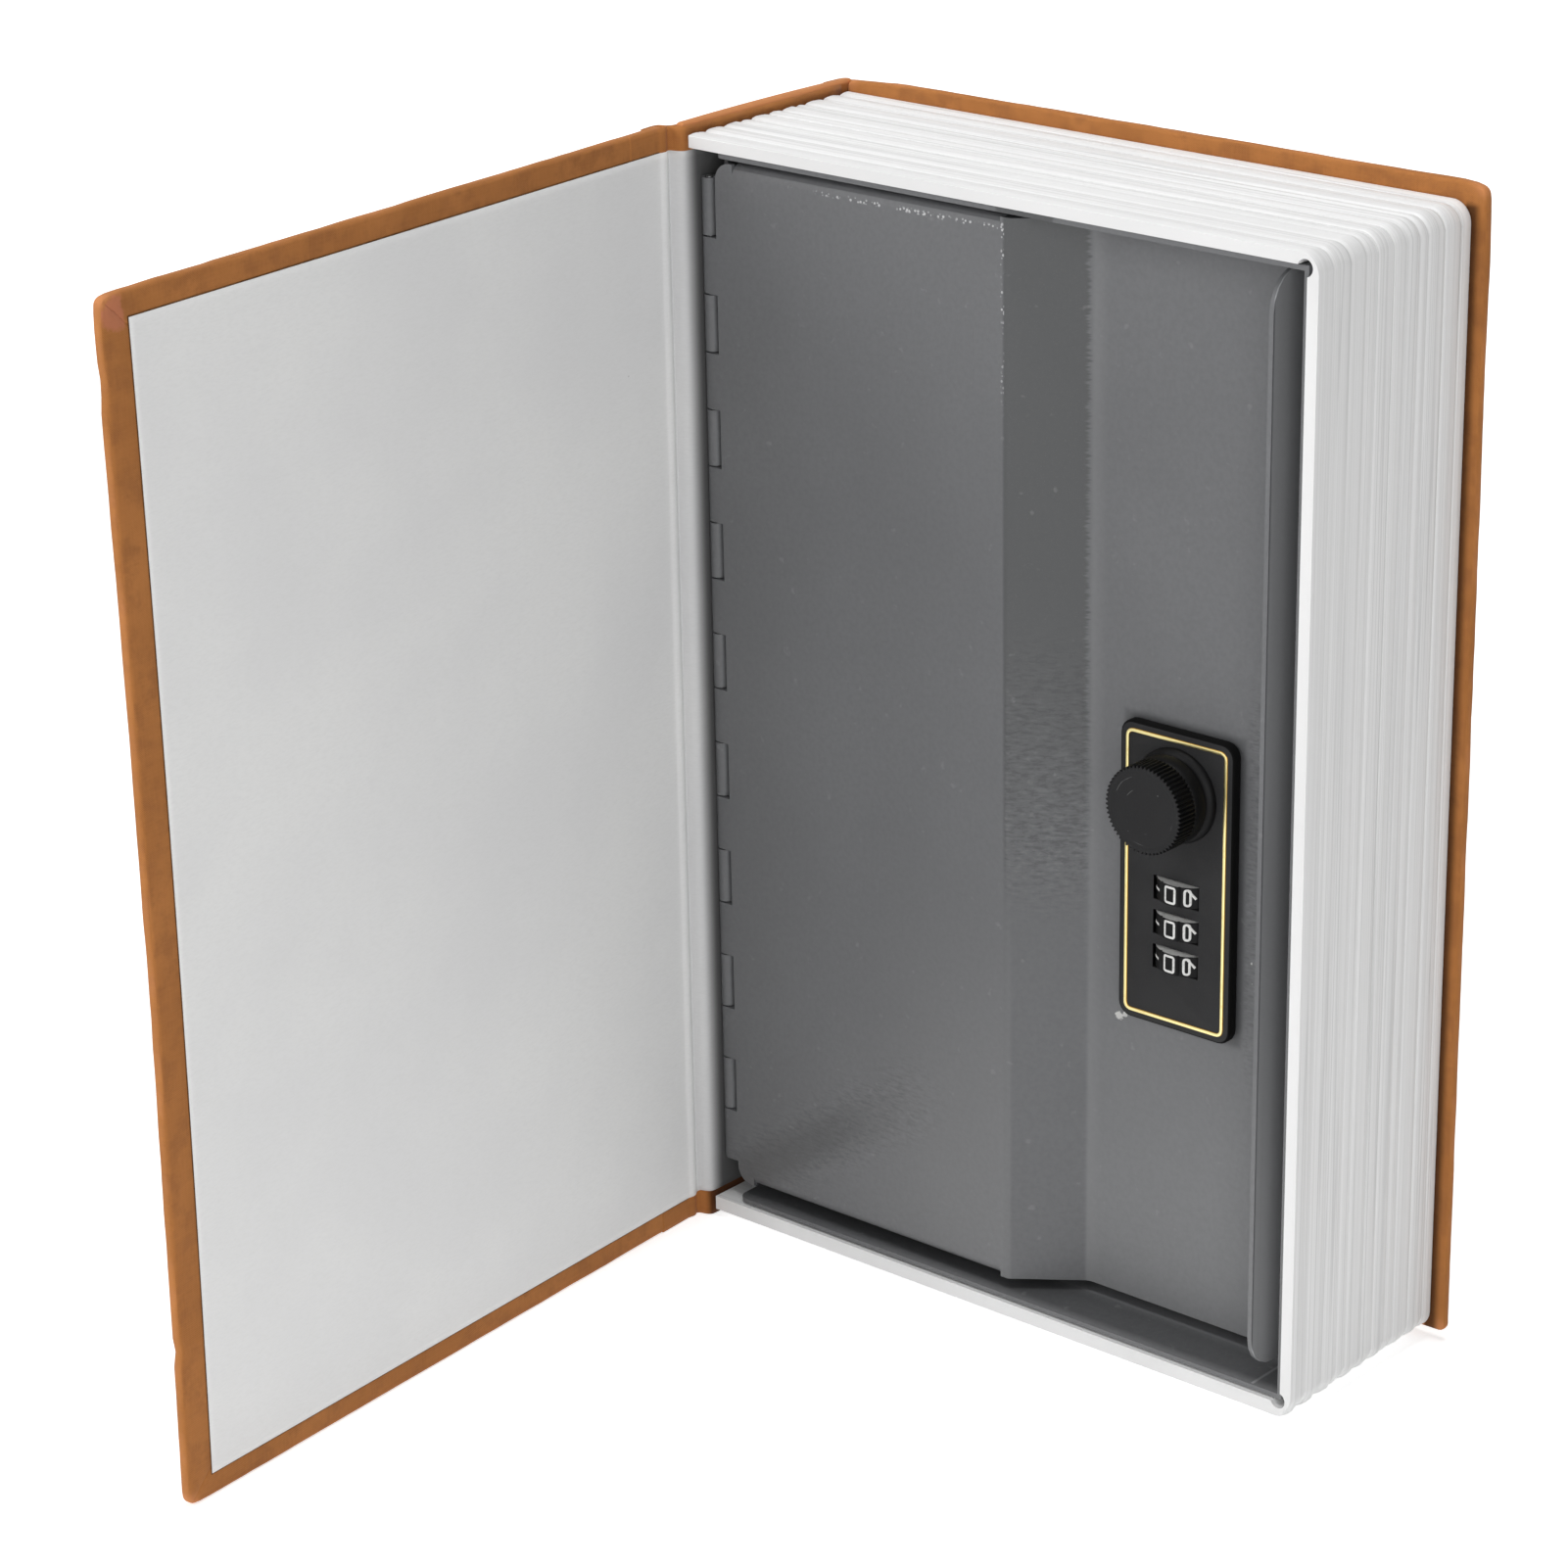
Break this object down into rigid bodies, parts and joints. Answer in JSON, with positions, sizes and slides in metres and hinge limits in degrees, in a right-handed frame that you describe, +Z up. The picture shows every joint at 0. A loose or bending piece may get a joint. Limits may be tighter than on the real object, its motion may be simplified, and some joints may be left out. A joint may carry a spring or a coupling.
{
  "type": "book diversion safe",
  "caption": "Hardback book case holding a hinged steel box with a recessed door, a combination lock with digit wheels and a turning knob.",
  "frame": {"origin": "middle of the back board's tail edge, which stands on the floor", "axes": "+Z up along the book's height, +X toward the fore edge, the spine toward -X, both front cover and steel door open toward -Y"},
  "size_m": [0.1598, 0.2098, 0.238],
  "materials": {
    "cover_board": "matte",
    "cover_cloth": "matte",
    "endpaper": "matte",
    "page_moulding": "satin",
    "grey_coat": "satin",
    "zinc_plate": "satin",
    "black_coat": "satin",
    "black_plastic": "satin",
    "gilt_line": "polished"
  },
  "bodies": {
    "case": {"back_board": "cover_board", "spine_board": "cover_board", "spine_lining": "endpaper", "joint_cloth": "cover_cloth", "page_frame": "page_moulding", "box_shell": "grey_coat", "hinge_pin": "zinc_plate", "strike": "grey_coat"},
    "cover": {"front_board": "cover_board", "front_endpaper": "endpaper"},
    "door": {"door_panel": "grey_coat", "lock_plate": "black_coat", "lock_trim": "gilt_line", "lock_body": "black_plastic", "wheel_axle": "zinc_plate", "knob_collar": "black_plastic", "plate_screw_1": "zinc_plate", "plate_screw_2": "zinc_plate"},
    "knob": {"knob": "black_plastic", "spindle": "zinc_plate", "cam": "zinc_plate", "cam_washer": "zinc_plate", "cam_screw": "zinc_plate"},
    "wheel_1": {"digit_wheel_1": "black_plastic"},
    "wheel_2": {"digit_wheel_2": "black_plastic"},
    "wheel_3": {"digit_wheel_3": "black_plastic"}
  },
  "joints": [
    {"name": "cover_hinge", "type": "hinge", "parent": "case", "child": "cover", "pos_m": [-0.08015, -0.0515, 0], "axis": [0, 0, -1], "range_deg": [-86.2, 93.8]},
    {"name": "door_hinge", "type": "hinge", "parent": "case", "child": "door", "pos_m": [-0.07535, -0.0452, 0.119], "axis": [0, 0, -1], "range_deg": [0, 84]},
    {"name": "lock_knob", "type": "hinge", "parent": "door", "child": "knob", "pos_m": [0.03715, -0.0397, 0.121], "axis": [0, 1, 0], "range_deg": [-90, 0]},
    {"name": "wheel_1_turn", "type": "hinge", "parent": "door", "child": "wheel_1", "pos_m": [0.0375, -0.0344, 0.10075], "axis": [0, 0, 1], "continuous": true},
    {"name": "wheel_2_turn", "type": "hinge", "parent": "door", "child": "wheel_2", "pos_m": [0.0375, -0.0344, 0.0935], "axis": [0, 0, 1], "continuous": true},
    {"name": "wheel_3_turn", "type": "hinge", "parent": "door", "child": "wheel_3", "pos_m": [0.0375, -0.0344, 0.08625], "axis": [0, 0, 1], "continuous": true}
  ]
}
